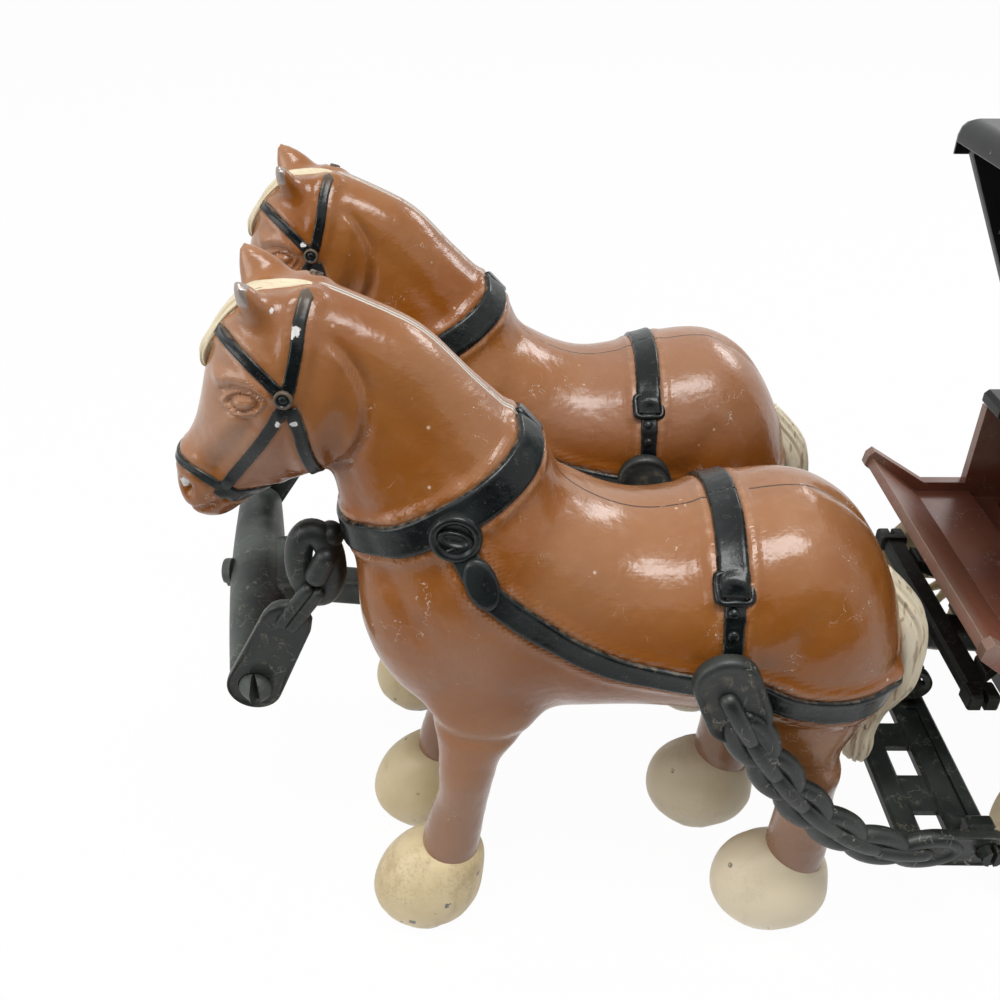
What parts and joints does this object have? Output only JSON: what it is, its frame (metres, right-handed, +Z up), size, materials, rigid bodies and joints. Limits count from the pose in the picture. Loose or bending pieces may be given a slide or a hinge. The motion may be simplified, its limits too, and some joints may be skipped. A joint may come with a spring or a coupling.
{
  "type": "horse and wagon coin bank",
  "caption": "Die-cast coin bank: a horse team in harness, with yoke, pole and evener, drawing a covered delivery wagon with a roof slot and a locking rear door.",
  "frame": {"origin": "on the floor, in the middle of the toy's box; the team faces -X and the wagon's centre plane is y = 0", "axes": "+X towards the wagon's rear door, +Y to the team's right, +Z up"},
  "size_m": [0.2867, 0.0868, 0.1088],
  "materials": {
    "brown_enamel": "glossy reddish-brown enamel on die-cast metal, cream enamel on feathers and tail, black on the moulded harness, chipped and grimed",
    "black_plastic": "moulded black plastic with a dull sheen and grey wear on its edges",
    "maroon_enamel": "satin maroon-brown enamel on die-cast metal",
    "black_enamel": "satin black enamel on sheet and die-cast metal, grey at worn edges",
    "cream_plastic": "cream moulded plastic, slightly dirty",
    "steel": "plain bright steel"
  },
  "bodies": {
    "wagon": {"wagon_body": "maroon_enamel", "seat": "black_plastic", "left_side_panel": "black_enamel", "right_side_panel": "black_enamel", "money_box_bulkhead": "black_enamel", "rear_frame": "black_enamel", "roof": "black_enamel", "door_hinge_pin": "steel", "chassis_plate": "black_plastic", "chassis_screw_1": "steel", "chassis_screw_2": "steel", "chassis_screw_3": "steel", "chassis_screw_4": "steel", "rear_bolster": "black_plastic", "rear_axle": "steel", "rear_left_push_nut": "steel", "rear_right_push_nut": "steel", "kingpin": "steel"},
    "front_gear": {"front_bolster": "black_plastic", "near_hound": "black_plastic", "off_hound": "black_plastic", "splinter_bar": "black_plastic", "front_axle": "steel", "front_left_push_nut": "steel", "front_right_push_nut": "steel", "pole": "black_plastic", "evener": "black_plastic", "evener_pin": "black_plastic", "evener_spacer": "black_plastic", "near_outer_trace": "black_plastic", "near_inner_trace": "black_plastic", "off_inner_trace": "black_plastic", "off_outer_trace": "black_plastic", "neck_yoke": "black_plastic", "near_yoke_strap": "black_plastic", "off_yoke_strap": "black_plastic", "near_horse_left_half": "brown_enamel", "near_horse_right_half": "brown_enamel", "near_horse_front_dowel": "steel", "near_horse_rear_dowel": "steel", "off_horse_left_half": "brown_enamel", "off_horse_right_half": "brown_enamel", "off_horse_front_dowel": "steel", "off_horse_rear_dowel": "steel"},
    "front_left_wheel": {"front_left_wheel": "cream_plastic"},
    "front_right_wheel": {"front_right_wheel": "cream_plastic"},
    "rear_left_wheel": {"rear_left_wheel": "cream_plastic"},
    "rear_right_wheel": {"rear_right_wheel": "cream_plastic"},
    "coin_door": {"coin_door": "black_enamel"},
    "door_lock": {"door_lock": "steel"}
  },
  "joints": [
    {"name": "front_gear_swivel", "type": "hinge", "parent": "wagon", "child": "front_gear", "pos_m": [-0.0018, 0, 0.037], "axis": [0, 0, 1], "range_deg": [-18, 18]},
    {"name": "front_left_wheel_spin", "type": "hinge", "parent": "front_gear", "child": "front_left_wheel", "pos_m": [-0.0018, -0.0306, 0.0188], "axis": [0, 1, 0], "continuous": true},
    {"name": "front_right_wheel_spin", "type": "hinge", "parent": "front_gear", "child": "front_right_wheel", "pos_m": [-0.0018, 0.0306, 0.0188], "axis": [0, 1, 0], "continuous": true},
    {"name": "rear_left_wheel_spin", "type": "hinge", "parent": "wagon", "child": "rear_left_wheel", "pos_m": [0.098, -0.0306, 0.024], "axis": [0, 1, 0], "continuous": true},
    {"name": "rear_right_wheel_spin", "type": "hinge", "parent": "wagon", "child": "rear_right_wheel", "pos_m": [0.098, 0.0306, 0.024], "axis": [0, 1, 0], "continuous": true},
    {"name": "coin_door_hinge", "type": "hinge", "parent": "wagon", "child": "coin_door", "pos_m": [0.1398, -0.0216, 0.0745], "axis": [0, 0, -1], "range_deg": [0, 100]},
    {"name": "door_lock_turn", "type": "hinge", "parent": "coin_door", "child": "door_lock", "pos_m": [0.1385, 0.0125, 0.074], "axis": [-1, 0, 0], "range_deg": [0, 90]}
  ]
}
